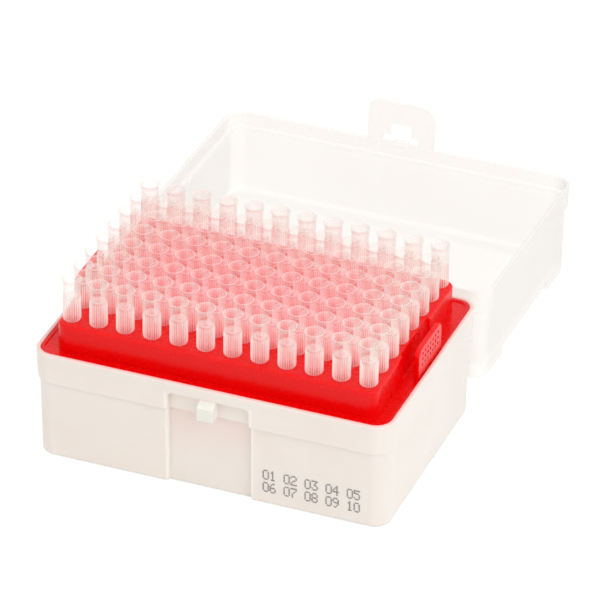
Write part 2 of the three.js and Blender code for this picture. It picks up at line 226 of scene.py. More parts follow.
def with_fillets(levels):
    """The levels of a loft, with an arc of levels in place of each that has a fillet."""
    smooth = [Vector(levels[0][:4])]
    for before, here, after in zip(levels, levels[1:], levels[2:]):
        edge = Vector(here[:4])
        if not here[4]:
            smooth.append(edge)
            continue
        legs = [Vector(other[:4]) - edge for other in (before, after)]
        flat = [Vector((leg[0], leg[3])) for leg in legs]
        turn = math.pi - flat[0].angle(flat[1])
        reach = here[4] * math.tan(turn / 2)
        starts = [edge + leg * min(0.49, reach / run.length) for leg, run in zip(legs, flat)]
        pull = 4 / 3 * math.tan(turn / 4) / math.tan(turn / 2)
        handles = [start.lerp(edge, pull) for start in starts]
        steps = max(2, math.ceil(turn / (math.pi / 2) * FILLET_STEPS))
        for step in range(steps + 1):
            t = step / steps
            smooth.append(
                starts[0] * (1 - t) ** 3
                + handles[0] * 3 * t * (1 - t) ** 2
                + handles[1] * 3 * t ** 2 * (1 - t)
                + starts[1] * t ** 3
            )
    smooth.append(Vector(levels[-1][:4]))
    return smooth


def bridge(bm, low, high):
    """Quads between two rings that have as many points."""
    for i in range(len(low)):
        j = (i + 1) % len(low)
        bm.faces.new((low[i], low[j], high[j], high[i]))


def loft(levels):
    """A closed solid through rounded rectangles, with its surface to the left of their order."""
    bm = bmesh.new()
    outlines = [rounded_rectangle(*place) for place in with_fillets(levels)]
    rings = [[bm.verts.new(point) for point in outline] for outline in outlines]
    for low, high in zip(rings, rings[1:]):
        bridge(bm, low, high)
    bm.faces.new(reversed(rings[0]))
    bm.faces.new(rings[-1])
    return bm


def soften(bm, width, segments=2, keep=lambda edge: True):
    """Bevels the sharp edges that keep() lets through."""
    sharp = [e for e in bm.edges if e.is_manifold and e.calc_face_angle(0) > BEVEL_ANGLE and keep(e)]
    bmesh.ops.bevel(
        bm, geom=sharp, offset=width, segments=segments, profile=0.5, affect="EDGES", clamp_overlap=True
    )
    return bm


def block(low, high, rounding=0.0):
    """A box between two corners, with rounded edges."""
    bm = bmesh.new()
    bmesh.ops.create_cube(bm, size=1)
    for v in bm.verts:
        for axis in range(3):
            v.co[axis] = low[axis] if v.co[axis] < 0 else high[axis]
    return soften(bm, rounding, segments=3) if rounding else bm


def mirrored_pair(low, high, rounding=0.0):
    """A block and its mirror image in X."""
    other = ((-high[0], low[1], low[2]), (-low[0], high[1], high[2]))
    return [block(low, high, rounding), block(*other, rounding)]


def prism(outline, axis, start, end, rounding=0.0):
    """An outline in the plane across the X or the Y axis, drawn out along it."""
    bm = bmesh.new()

    def place(point, along):
        if axis == "x":
            return (along, point[0], point[1])
        return (point[0], along, point[1])

    low = [bm.verts.new(place(point, start)) for point in outline]
    high = [bm.verts.new(place(point, end)) for point in outline]
    bm.faces.new(low)
    bm.faces.new(reversed(high))
    for i in range(len(outline)):
        j = (i + 1) % len(outline)
        bm.faces.new((low[i], high[i], high[j], low[j]))
    bmesh.ops.recalc_face_normals(bm, faces=bm.faces)
    return soften(bm, rounding) if rounding else bm


def rod(radius, start, end, y, z, rounding=0.0, sides=32):
    """A round rod along X."""
    outline = [
        (y + radius * math.cos(math.tau * i / sides), z + radius * math.sin(math.tau * i / sides))
        for i in range(sides)
    ]
    return prism(outline, "x", start, end, rounding)


def panel_outline(half_width, root, end, corner):
    """An upright panel's outline with its two far corners rounded."""
    turn = 1 if end > root else -1
    points = [(-half_width, root), (half_width, root)]
    for centre, first in ((half_width - corner, 0), (corner - half_width, math.pi / 2)):
        for step in range(CORNER_STEPS + 1):
            angle = first + math.pi / 2 * step / CORNER_STEPS
            x = centre + corner * math.cos(angle)
            points.append((x, end - turn * corner + turn * corner * math.sin(angle)))
    return points


def joined(parts):
    """One mesh from several that don't touch."""
    whole = bmesh.new()
    for part in parts:
        mesh = bpy.data.meshes.new("part")
        part.to_mesh(mesh)
        part.free()
        whole.from_mesh(mesh)
        bpy.data.meshes.remove(mesh)
    return whole


def linked_object(name, data):
    """A new object in the scene."""
    made = bpy.data.objects.new(name, data)
    bpy.context.scene.collection.objects.link(made)
    return made


def object_from(bm, name):
    """A new object in the scene, with a bmesh for its mesh."""
    mesh = bpy.data.meshes.new(name)
    bm.to_mesh(mesh)
    bm.free()
    return linked_object(name, mesh)


def combined(solid, tool, operation):
    """A solid with another joined to it or cut from it, as a new bmesh."""
    first = object_from(solid, "solid")
    second = object_from(tool, "tool")
    change = first.modifiers.new("change", "BOOLEAN")
    change.object = second
    change.operation = operation
    change.solver = "EXACT"
    bpy.context.view_layer.update()
    result = bmesh.new()
    evaluated = first.evaluated_get(bpy.context.evaluated_depsgraph_get())
    result.from_mesh(evaluated.to_mesh())
    evaluated.to_mesh_clear()
    for spent in (first, second):
        mesh = spent.data
        bpy.data.objects.remove(spent)
        bpy.data.meshes.remove(mesh)
    bmesh.ops.remove_doubles(result, verts=result.verts, dist=MERGE_DISTANCE)
    bmesh.ops.dissolve_degenerate(result, edges=result.edges, dist=MERGE_DISTANCE)
    return result


def cut(solid, *tools):
    return combined(solid, joined(tools), "DIFFERENCE")


def add(solid, *parts):
    return combined(solid, joined(parts), "UNION")


# ------------------------------------------------------------ pieces of the object


def dress(made, body, material, nodes):
    """Smooths a piece, gives it its material, and ties it to the frame."""
    made.data.shade_smooth()
    made.data.set_sharp_from_angle(angle=SMOOTH_ANGLE)
    if not made.data.materials:
        made.data.materials.append(material)
    even = made.modifiers.new("even shading", "WEIGHTED_NORMAL")
    even.keep_sharp = True
    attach(made, body)
    if nodes:
        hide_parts(*nodes)


def piece(bm, name, body, material, nodes=(), place=Matrix()):
    """A finished piece of the object, put in its place and scaled to metres."""
    bm.transform(place)
    bm.transform(Matrix.Scale(MM, 4))
    made = object_from(bm, name)
    dress(made, body, material, nodes)
    return made


def let_light_through(made):
    """Clear plastic throws no shadow, and the light that other pieces scatter passes it."""
    made.visible_shadow = False
    made.visible_diffuse = False


# ------------------------------------------------------------ materials


def linear(*shown):
    """A colour given as it shows, 0 to 255, as the linear values that a shader takes."""
    light = [((c / 255 + 0.055) / 1.055) ** 2.4 if c > 10 else c / 255 / 12.92 for c in shown]
    return (*light, 1)


def new_node(tree, kind, inputs=None, **settings):
    """A node whose inputs are set to plain values, or linked where a socket is given."""
    made = tree.nodes.new(kind)
    for key, value in settings.items():
        setattr(made, key, value)
    for key, source in (inputs or {}).items():
        if isinstance(source, bpy.types.NodeSocket):
            tree.links.new(source, made.inputs[key])
        else:
            made.inputs[key].default_value = source
    return made


class Nodes:
    """A material's node tree, with short calls for the nodes that the plastics share."""

    def __init__(self, name):
        self.material = bpy.data.materials.new(name)
        self.material.use_nodes = True
        self.tree = self.material.node_tree
        self.shader = self.tree.nodes["Principled BSDF"]
        self.place = self.node("ShaderNodeTexCoord").outputs["Object"]

    def node(self, kind, inputs=None, **settings):
        return new_node(self.tree, kind, inputs, **settings)

    def noise(self, scale, detail=2.0, stretch=(1, 1, 1)):
        """Soft noise with features of 1/scale metres, stretched along an axis where asked."""
        place = self.node("ShaderNodeMapping", {"Scale": stretch, "Vector": self.place}).outputs[0]
        inputs = {"Scale": scale, "Detail": detail, "Vector": place}
        return self.node("ShaderNodeTexNoise", inputs).outputs["Fac"]

    def axes(self, place):
        """A place's X, Y and Z."""
        return self.node("ShaderNodeSeparateXYZ", {"Vector": place}).outputs

    def facing(self, blend):
        """From 0 where the surface is seen face on to 1 where it is seen edge on."""
        return self.node("ShaderNodeLayerWeight", {"Blend": blend}).outputs["Facing"]

    def spread(self, source, low, high, start=0.3, end=0.7):
        """The source between start and end, spread over low to high."""
        inputs = {"Value": source, "From Min": start, "From Max": end, "To Min": low, "To Max": high}
        return self.node("ShaderNodeMapRange", inputs).outputs[0]

    def rise(self, source, start, end, top=1):
        """0 up to a place in millimetres, growing to top at another."""
        return self.spread(source, 0, top, start * MM, end * MM)

    def fall(self, source, start, end):
        """1 up to a place in millimetres, falling to 0 at another."""
        return self.spread(source, 1, 0, start * MM, end * MM)

    def maths(self, operation, first, second=None):
        inputs = {0: first} if second is None else {0: first, 1: second}
        return self.node("ShaderNodeMath", inputs, operation=operation).outputs[0]

    def distance(self, source, centre=0.0):
        """How far a place along an axis is from a centre in millimetres."""
        if centre:
            source = self.maths("ADD", source, -centre * MM)
        return self.maths("ABSOLUTE", source)

    def product(self, first, *others):
        """Masks multiplied together."""
        for other in others:
            first = self.maths("MULTIPLY", first, other)
        return first

    def blend(self, factor, first, second):
        """A colour between two, each a colour or a socket."""
        return self.node("ShaderNodeMix", {0: factor, 6: first, 7: second}, data_type="RGBA").outputs[2]

    def clouds(self, scale, detail, first, second):
        """A colour that drifts between two in soft clouds."""
        return self.blend(self.spread(self.noise(scale, detail), 0, 1), first, second)

    def bump(self, height, strength, distance):
        inputs = {"Strength": strength, "Distance": distance, "Height": height}
        return self.node("ShaderNodeBump", inputs).outputs[0]

    def feed(self, **sources):
        """Links sources to the shader's sockets, with _ for a space in a socket's name."""
        for name, source in sources.items():
            self.tree.links.new(source, self.shader.inputs[name.replace("_", " ")])

    def fix(self, **values):
        """Sets the shader's sockets whose value is the same all over."""
        for name, value in values.items():
            self.shader.inputs[name.replace("_", " ")].default_value = value


def base_plastic():
    """Warm white plastic that light sinks into.

    A painted pink glow stands for the red rack's light on the thin recess panel and the rim's top. A painted
    highlight runs along the recess's edges, and the lug is cooler.
    """
    n = Nodes("base_plastic")
    x, y, z = n.axes(n.place)
    aside = n.distance(x)
    color = n.clouds(55, 3, linear(244, 234, 226), linear(247, 239, 232))
    # Painted highlight: a paler line along the recess's upright edges stands for the light that falls on
    # them.
    recess_edge_highlight = n.product(
        n.rise(aside, RECESS_HALF - 0.3, RECESS_HALF),
        n.fall(aside, RECESS_HALF + 0.3, RECESS_HALF + 0.8),
        n.fall(z, RECESS_TOP, RECESS_TOP + 0.5),
    )
    color = n.blend(recess_edge_highlight, color, linear(253, 247, 242))
    lug = n.fall(y, -(RIM[1] + 0.5), -(RIM[1] + 0.1))
    color = n.blend(lug, color, linear(238, 237, 229))
    # Painted light: the rim's top is tinted pink for the red rack's light falling on it.
    rim_top_red_glow = n.product(n.rise(z, RIM_TOP - 0.6, RIM_TOP - 0.05), n.fall(y, RIM[1], RIM[1] + 0.3))
    color = n.blend(rim_top_red_glow, color, linear(252, 212, 206))
    # Painted light: the thin recess panel is tinted pink for the red rack's light showing through it.
    recess_panel_red_glow = n.product(
        n.fall(aside, RECESS_HALF - 0.6, RECESS_HALF),
        n.rise(y, PANEL_Y - 0.5, PANEL_Y - 0.1, top=0.75),
        n.fall(y, PANEL_Y + 0.3, PANEL_Y + 0.8),
        n.rise(z, RACK_FOOT, COLLAR_FOOT_Z),
    )
    n.feed(Base_Color=n.blend(recess_panel_red_glow, color, linear(250, 224, 217)))
    grain = n.noise(2600, 2)
    n.feed(Roughness=n.spread(grain, 0.36, 0.5), Normal=n.bump(grain, 0.1, 0.00004))
    n.fix(Subsurface_Weight=0.5, Subsurface_Scale=MM, Subsurface_Radius=(1.7, 1.5, 1.4))
    return n.material


def rack_plastic():
    """Glossy red plastic with faint flow clouds and a slight unevenness in its gloss."""
    n = Nodes("rack_plastic")
    n.feed(Base_Color=n.clouds(70, 2, linear(235, 1, 2), linear(240, 2, 4)))
    grain = n.noise(700, 2)
    n.feed(Roughness=n.spread(grain, 0.22, 0.3), Normal=n.bump(grain, 0.02, 0.00003))
    n.fix(Specular_IOR_Level=0.24)
    n.fix(Subsurface_Weight=0.5, Subsurface_Scale=MM, Subsurface_Radius=(2.5, 0.3, 0.3))
    return n.material


def lid_plastic():
    """Thin frosted plastic: partly see-through, more solid where it is seen edge on."""
    n = Nodes("lid_plastic")
    face_on = n.clouds(45, 3, linear(251, 248, 243), linear(253, 251, 247))
    facing = n.facing(0.35)
    n.feed(Base_Color=n.blend(n.spread(facing, 0, 1, 0.4, 1), face_on, linear(228, 220, 210)))
    grain = n.noise(1900, 2)
    n.feed(Roughness=n.spread(grain, 0.3, 0.42), Normal=n.bump(grain, 0.1, 0.00005))
    n.feed(Alpha=n.spread(facing, 0.48, 0.86, 0.2, 1))
    return n.material


# The painted red glow in the tips is strongest round a place a little in front of the middle row.
PINK_CENTRE_Y = -6.0


def tip_plastic():
    """Clear, slightly milky plastic; how milky is in the mesh, and it shows most where seen edge on.

    Painted pink stands for the red deck's light in it: more in the barrels than in the cups, and more among
    the inner tips.
    """
    n = Nodes("tip_plastic")
    x, y, z = n.axes(n.node("ShaderNodeNewGeometry").outputs["Position"])
    # Painted light: a mask for the inner tips, which are painted pinker for the red deck's light among them.
    inner = n.product(n.fall(n.distance(x), 30, 50), n.fall(n.distance(y, PINK_CENTRE_Y), 12, 34))
    streaks = n.spread(n.noise(500, 2, (1, 1, 0.15)), 0, 1)
    # Painted light: the barrels are painted pinker than the cups for the red deck's light in them.
    barrel = n.blend(streaks, linear(255, 232, 227), linear(255, 240, 236))
    barrel = n.blend(inner, barrel, linear(255, 198, 199))
    cup = n.blend(streaks, linear(247, 239, 231), linear(250, 244, 238))
    cup = n.blend(inner, cup, linear(255, 217, 216))
    # Painted light: the colour goes from the pinker barrels up to the paler cups.
    face_on = n.blend(n.rise(z, DECK_TOP + 1, TIP_TOP - 6), barrel, cup)
    edge_on = n.blend(inner, linear(241, 220, 211), linear(254, 209, 207))
    facing = n.facing(0.4)
    n.feed(Base_Color=n.blend(n.spread(facing, 0, 1, 0.3, 1), face_on, edge_on))
    n.feed(Roughness=n.spread(n.noise(3000, 1), 0.16, 0.24))
    milk = n.node("ShaderNodeAttribute", attribute_name="milk").outputs["Fac"]
    n.feed(Alpha=n.maths("ADD", milk, n.spread(facing, 0, 0.25, 0.15, 1)))
    return n.material


def print_ink():
    """Grey printed ink, a little uneven."""
    n = Nodes("print_ink")
    n.feed(Base_Color=n.clouds(1500, 2, linear(120, 110, 108), linear(150, 141, 138)))
    n.feed(Roughness=n.spread(n.noise(2500, 1), 0.5, 0.7))
    return n.material


# ------------------------------------------------------------ base


def base_shell():
    """Tray with a collar round its rim and a rebate for the rack's flange."""
    cavity_top = inset(BODY_TOP, BASE_WALL)
    cavity_foot = inset(BODY_FOOT, BASE_WALL)
    return loft([
        level(inset(BODY_FOOT, 1.2), BODY_CORNER - 1.2, 0),
        level(BODY_FOOT, BODY_CORNER, 0, 0.9),
        level(BODY_TOP, BODY_CORNER, COLLAR_FOOT_Z, 0.25),
        level(COLLAR_FOOT, COLLAR_CORNER, COLLAR_FOOT_Z, 0.45),
        level(RIM, COLLAR_CORNER, RIM_TOP, 0.55),
        level(REBATE, FLANGE_CORNER + SEAT_GAP, RIM_TOP, 0.3),
        level(REBATE, FLANGE_CORNER + SEAT_GAP, LEDGE_Z),
        level(cavity_top, BODY_CORNER - BASE_WALL, LEDGE_Z, 0.2),
        level(cavity_foot, BODY_CORNER - BASE_WALL, BASE_FLOOR, 1.2),
        level(inset(cavity_foot, 3), 1.5, BASE_FLOOR),
    ])


def recess_tools():
    """What the front wall's recess takes away: the band under the rim, and the panel below it."""
    outside = -RIM[1] - 3
    outline = panel_outline(BAND_HALF, COLLAR_FOOT_Z - 0.6, RECESS_TOP, RECESS_CORNER)
    band = prism(outline, "y", outside, BAND_Y)
    panel = block((-RECESS_HALF, outside, -3), (RECESS_HALF, PANEL_Y, COLLAR_FOOT_Z))
    return band, panel


def latch_lug():
    """Lug with a ramp for the snap tab; its top slopes up to the collar behind it."""
    root = BAND_Y + 0.6
    under_collar = RECESS_TOP + 0.05
    profile = [
        (root, LUG_BOTTOM),
        (LUG_FRONT, LUG_BOTTOM),
        (LUG_FRONT, LUG_TOP - LUG_RAMP / 2),
        (LUG_FRONT + LUG_RAMP, LUG_TOP),
        (-COLLAR_FOOT[1], under_collar),
        (root, under_collar),
    ]
    return prism(profile, "x", -LUG_HALF, LUG_HALF, 0.35)


def hinge_bracket(station):
    """Two ears and, between them, the stop that the opened lid rests on."""
    root = RIM[1] - RIM_WALL / 2
    lean = OPEN_ANGLE - math.pi
    wall = HINGE_Y - LID_OUTER[1]
    reach = wall * math.cos(lean) - (EAR_RADIUS + STOP_DEPTH) * math.sin(lean) - HINGE_GAP
    bottom = STOP_TOP - STOP_DEPTH
    outline = [(root, bottom), (HINGE_Y + reach, bottom), (HINGE_Y + reach, STOP_TOP), (HINGE_Y, STOP_TOP)]
    for degrees in range(-60, 91, 10):
        a = math.radians(degrees)
        outline.append((HINGE_Y + EAR_RADIUS * math.cos(a), HINGE_Z + EAR_RADIUS * math.sin(a)))
    outline.append((root, HINGE_Z + EAR_RADIUS - 0.5))
    ears = []
    for side in (-1, 1):
        middle = station + side * EAR_OFFSET
        ears.append(prism(outline, "x", middle - EAR_THICKNESS / 2, middle + EAR_THICKNESS / 2, 0.2))
    stop = block(
        (station - EAR_OFFSET, root, bottom), (station + EAR_OFFSET, HINGE_Y + reach, STOP_TOP), 0.2
    )
    end = EAR_OFFSET + EAR_THICKNESS
    bore = rod(PIN_RADIUS + HINGE_GAP, station - end, station + end, HINGE_Y, HINGE_Z)
    return cut(add(joined(ears), stop), bore)


def base_piece(material):
    backing = block(
        (-RECESS_HALF - BASE_WALL, -BODY_FOOT[1] + 0.5, BASE_FLOOR / 2),
        (RECESS_HALF + BASE_WALL, PANEL_Y + RECESS_WALL, RECESS_TOP),
    )
    shell = add(base_shell(), backing)
    for tool in recess_tools():
        shell = cut(shell, tool)

    def in_the_recess(edge):
        middle = (edge.verts[0].co + edge.verts[1].co) / 2
        inside = abs(middle.x) < RECESS_HALF + 0.2 and middle.y < PANEL_Y + 0.1
        return inside and 0.5 < middle.z < RECESS_TOP + 0.2 and edge.calc_length() > 0.15

    soften(shell, 0.3, keep=in_the_recess)
    shell = cut(shell, *mirrored_pair(
        (BODY_FOOT[0] - BASE_WALL, -FOOT_NOTCH_HALF, -FOOT_NOTCH_HEIGHT),
        (RIM[0], FOOT_NOTCH_HALF, FOOT_NOTCH_HEIGHT), 0.2,
    ))
    shell = add(shell, latch_lug(), *(hinge_bracket(station) for station in HINGE_STATIONS))
    piece(shell, "base_tray", "box", material, ["base"])


# ------------------------------------------------------------ rack


def rack_shell():
    """Platform with a skirt, and the flange with its raised lip that sits in the base's rebate."""
    skirt = inset(DECK, RACK_WALL)
    skirt_corner = RACK_CORNER - RACK_WALL
    under = DECK_TOP - DECK_THICKNESS
    edge = inset(FLANGE, -FLANGE_EXTRA)
    edge_corner = FLANGE_CORNER + FLANGE_EXTRA
    lip = inset(FLANGE, LIP_WIDTH)
    lip_corner = FLANGE_CORNER - LIP_WIDTH
    lip_top = FLANGE_TOP + LIP_HEIGHT
    return loft([
        level(inset(skirt, 3), 1.5, under),
        level(skirt, skirt_corner, under, 0.8),
        level(skirt, skirt_corner, RACK_FOOT, 0.2),
        level(DECK, RACK_CORNER, RACK_FOOT, 0.2),
        level(DECK, RACK_CORNER, FLANGE_BOTTOM),
        level(edge, edge_corner, FLANGE_BOTTOM, 0.2),
        level(edge, edge_corner, lip_top, 0.2),
        level(lip, lip_corner, lip_top, 0.15),
        level(lip, lip_corner, FLANGE_TOP, 0.15),
        level(DECK, RACK_CORNER, FLANGE_TOP),
        level(DECK, RACK_CORNER, DECK_TOP, 0.8),
        level(inset(DECK, 3), 1.5, DECK_TOP),
    ])


def tip_centre(column, row):
    return (column - (TIP_COLUMNS - 1) / 2) * PITCH, (row - (TIP_ROWS - 1) / 2) * PITCH


def deck_posts(radius, low, high, sides):
    """A round post at each tip's place."""
    posts = []
    for column in range(TIP_COLUMNS):
        for row in range(TIP_ROWS):
            post = bmesh.new()
            bmesh.ops.create_cone(
                post, cap_ends=True, segments=sides, radius1=radius, radius2=radius, depth=high - low
            )
            x, y = tip_centre(column, row)
            post.transform(Matrix.Translation((x, y, (low + high) / 2)))
            posts.append(post)
    return posts


def lip_openings():
    """What the lip loses: a gap with slanted ends at the front, and the seats of the finger tabs."""
    over_lip = FLANGE_TOP + 2 * LIP_HEIGHT
    outline = [
        (-LIP_GAP / 2, FLANGE_TOP),
        (LIP_GAP / 2, FLANGE_TOP),
        (LIP_GAP / 2 + LIP_HEIGHT, over_lip),
        (-LIP_GAP / 2 - LIP_HEIGHT, over_lip),
    ]
    gap = prism(outline, "y", -FLANGE[1] - 1, -FLANGE[1] + LIP_WIDTH + 0.3)
    seats = mirrored_pair(
        (FINGER_TAB_IN - 1, -FINGER_TAB_LENGTH / 2, FLANGE_TOP),
        (FLANGE[0] + 1, FINGER_TAB_LENGTH / 2, over_lip),
    )
    return gap, seats


def rack_piece(material):
    """The rack. Its sockets stop just short of the deck's face.

    The clear feet of the tips cover them, and light carried in by real tips keeps the red bright there.
    """
    socket_foot = DECK_TOP - SOCKET_DEPTH
    in_deck = DECK_TOP - DECK_THICKNESS / 2
    shell = add(rack_shell(), *mirrored_pair(
        (RELIEF_X - RACK_WALL, -RELIEF_LENGTH / 2 - RACK_WALL, FLANGE_BOTTOM),
        (DECK[0] - 0.5, RELIEF_LENGTH / 2 + RACK_WALL, in_deck),
    ))
    reliefs = mirrored_pair(
        (RELIEF_X, -RELIEF_LENGTH / 2, FLANGE_TOP), (FINGER_TAB_IN, RELIEF_LENGTH / 2, DECK_TOP + 3), 0.5
    )
    gap, seats = lip_openings()
    shell = cut(shell, *reliefs, gap)
    shell = cut(shell, *seats)
    shell = add(shell, *deck_posts(HOLE_RADIUS + SOCKET_WALL, socket_foot, in_deck, 16))
    shell = cut(shell, *deck_posts(HOLE_RADIUS, socket_foot - 1, DECK_TOP - DECK_SKIN, 20))
    piece(shell, "tip_rack", "box", material, ["rack"])


def finger_tab(side):
    """Upright tab with rows of pits in its outer face, so that a finger grips it."""
    outline = panel_outline(FINGER_TAB_LENGTH / 2, FLANGE_TOP, FINGER_TAB_TOP, FINGER_TAB_CORNER)
    tab = prism(outline, "x", side * FINGER_TAB_IN, side * FINGER_TAB_OUT, 0.3)
    deep = side * (FINGER_TAB_OUT - PIT_DEPTH)
    outside = side * (FINGER_TAB_OUT + 1)
    pits = []
    for row in range(PIT_ROWS):
        for column in range(PIT_COLUMNS):
            y = (column - (PIT_COLUMNS - 1) / 2) * PIT_SPACING
            z = FINGER_TAB_TOP - PIT_DROP - row * PIT_ROW_SPACING
            pits.append(rod(PIT_RADIUS, deep, outside, y, z, sides=14))
    return cut(tab, *pits)


def finger_tabs_piece(material):
    """Both finger tabs. They throw no shadow, as thin red plastic lets light into the slot behind it."""
    tabs = joined([finger_tab(-1), finger_tab(1)])
    piece(tabs, "finger_tabs", "box", material).visible_shadow = False


# ------------------------------------------------------------ tips

RIBS = 24
POINTS_PER_RIB = 4
RIB_LEAN = 0.18
CUP_HEIGHT = 6.2
CUP_TAPER = 1.7
CUP_FLOOR = 2.1
BARREL = 2.92
GROOVE = 2.42
FOOT_STEPS = 4
RIM_RADIUS = 3.3
RIM_INNER = RIM_RADIUS - 0.55
CONE_RADIUS = 1.9
BORE = 0.35
NOZZLE_RADIUS = 0.35
NOZZLE_BORE = 0.2


def tip_levels():
    """Levels of a tip, up its outside and down its bore.

    Each is its radius, the radius in the grooves between the ribs or None, its height, and how milky the
    plastic is on the ribs and in the grooves.
    """
    foot = DECK_TOP + SEAT_GAP
    shoulder = TIP_TOP - CUP_HEIGHT
    levels = [(NOZZLE_RADIUS, None, TIP_BOTTOM, 0.3, 0), (CONE_RADIUS, None, foot, 0, 0)]
    for step in range(FOOT_STEPS + 1):
        angle = math.pi / 2 * step / FOOT_STEPS
        radius = BARREL - 0.7 * (1 - math.sin(angle))
        groove = min(GROOVE, radius - 0.12)
        z = foot + 0.9 * (1 - math.cos(angle))
        levels.append((radius, groove, z, 0.2 + 0.05 * step, 0.06 + 0.02 * step))
    levels += [
        (BARREL, GROOVE, foot + 3, 0.46, 0.2),
        (BARREL, GROOVE, shoulder - 0.35, 0.52, 0.26),
        (BARREL - 0.12, GROOVE + 0.2, shoulder, 0.4, 0.3),
        (BARREL - 0.1, None, shoulder + 0.15, 0.14, 0),
        (BARREL, None, TIP_TOP - CUP_TAPER, 0.12, 0),
        (RIM_RADIUS - 0.08, None, TIP_TOP - 0.25, 0.2, 0),
        (RIM_RADIUS, None, TIP_TOP - 0.1, 0.42, 0),
        (RIM_RADIUS - 0.12, None, TIP_TOP, 0.4, 0),
        (RIM_INNER + 0.1, None, TIP_TOP, 0.36, 0),
        (RIM_INNER, None, TIP_TOP - 0.12, 0.3, 0),
        (RIM_INNER - 0.25, None, TIP_TOP - CUP_TAPER, 0.1, 0),
        (CUP_FLOOR + 0.3, None, shoulder + 0.3, 0.1, 0),
        (CUP_FLOOR, None, shoulder, 0.25, 0),
        (0.95, None, shoulder - 0.1, 0.25, 0),
        (0.5, None, shoulder - 1.2, 0.1, 0),
        (BORE, None, foot, 0.1, 0),
        (NOZZLE_BORE, None, TIP_BOTTOM, 0.1, 0),
    ]
    return levels


def tip_mesh():
    """One tip: flared cup, ribbed barrel with a rounded foot, long cone, and the bore through it."""
    bm = bmesh.new()
    milky = bm.verts.layers.float.new("milk")
    points = RIBS * POINTS_PER_RIB
    rings = []
    for radius, groove, z, milk, groove_milk in tip_levels():
        ring = []
        for i in range(points):
            corner = i % POINTS_PER_RIB
            sunk = groove is not None and corner > 1
            lean = 0 if groove is None else RIB_LEAN if corner in (1, 2) else -RIB_LEAN
            angle = math.tau * (i + lean) / points
            out = groove if sunk else radius
            vert = bm.verts.new((out * math.cos(angle), out * math.sin(angle), z))
            vert[milky] = groove_milk if sunk else milk
            ring.append(vert)
        rings.append(ring)
    for low, high in zip(rings, rings[1:] + rings[:1]):
        bridge(bm, low, high)
    return bm


def tip_pieces(material):
    """The pairs that the frame has, all sharing one mesh of two tips."""
    pair = []
    for side in (-1, 1):
        tip = tip_mesh()
        tip.transform(Matrix.Translation((side * PITCH / 2, 0, 0)))
        pair.append(tip)
    bm = joined(pair)
    bm.transform(Matrix.Scale(MM, 4))
    mesh = bpy.data.meshes.new("tip_pair")
    bm.to_mesh(mesh)
    bm.free()
    for row in range(TIP_ROWS):
        letter = "abcdefgh"[row]
        for column in range(0, TIP_COLUMNS, 2):
            x, y = tip_centre(column + 0.5, row)
            name = f"tips_{letter}{column + 1}_{letter}{column + 2}"
            made = linked_object(f"ribbed_{name}", mesh)
            made.location = (x * MM, y * MM, 0)
            let_light_through(made)
            dress(made, "box", material, [name])


# ------------------------------------------------------------ lid


def lid_shell():
    """Upturned tray, closed: ceiling, walls, collar over the base's rim, and the stacking ridge."""
    ridge = inset(LID_BODY, RIDGE_WALL)
    ridge_corner = LID_BODY_CORNER - RIDGE_WALL
    return loft([
        level(inset(LID_INNER, 4), 1.5, LID_CEILING),
        level(LID_INNER, LID_INNER_CORNER, LID_CEILING, 1.4),
        level(LID_INNER, LID_INNER_CORNER, LID_LEDGE_Z, 0.25),
        level(LID_RIM, LID_RIM_CORNER, LID_LEDGE_Z, 0.2),
        level(LID_RIM, LID_RIM_CORNER, LID_RIM_Z + LID_LEAD_IN),
        level(inset(LID_RIM, -LEAD_IN_FLARE), LID_RIM_CORNER + 0.3, LID_RIM_Z, 0.15),
        level(LID_OUTER, LID_CORNER, LID_RIM_Z, 0.3),
        level(LID_OUTER, LID_CORNER, LID_COLLAR_TOP, 0.4),
        level(LID_BODY, LID_BODY_CORNER, LID_COLLAR_TOP, 0.3),
        level(LID_BODY, LID_BODY_CORNER, RIDGE_TOP, 0.5),
        level(ridge, ridge_corner, RIDGE_TOP, 0.4),
        level(ridge, ridge_corner, LID_PLATE_TOP, 0.5),
        level(inset(ridge, 3), 1.5, LID_PLATE_TOP),
    ])


def lid_openings():
    """The gaps in the stacking ridge, and the notches that clear the base's ears."""
    openings = mirrored_pair(
        (LID_BODY[0] - 2 * RIDGE_WALL, -RIDGE_GAP / 2, LID_PLATE_TOP),
        (LID_OUTER[0] + 1, RIDGE_GAP / 2, RIDGE_TOP + 2), 0.5,
    )
    notch_top = HINGE_Z + EAR_RADIUS + 4 * HINGE_GAP
    reach = EAR_THICKNESS / 2 + HINGE_GAP
    for station in HINGE_STATIONS:
        for side in (-1, 1):
            middle = station + side * EAR_OFFSET
            openings.append(block(
                (middle - reach, LID_INNER[1], LID_RIM_Z - 1),
                (middle + reach, LID_OUTER[1] + 1, notch_top),
            ))
    return openings


def latch_tab():
    """Snap tab with a stepped window for the base's lug."""
    outer = -LID_OUTER[1]
    inner = -LID_RIM[1]
    outline = panel_outline(LATCH_TAB_HALF, LID_RIM_Z + 0.6, LID_RIM_Z - LATCH_TAB_LENGTH, LATCH_TAB_CORNER)
    plate = prism(outline, "y", outer, inner, 0.3)
    for half, top, depth in (
        (WINDOW_UPPER_HALF, 0, WINDOW_UPPER_DEPTH),
        (WINDOW_LOWER_HALF, 1.5, WINDOW_DEPTH),
    ):
        plate = cut(plate, block(
            (-half, outer - 2, LID_RIM_Z - depth), (half, inner + 2, LID_RIM_Z - top), 0.5
        ))
    return plate


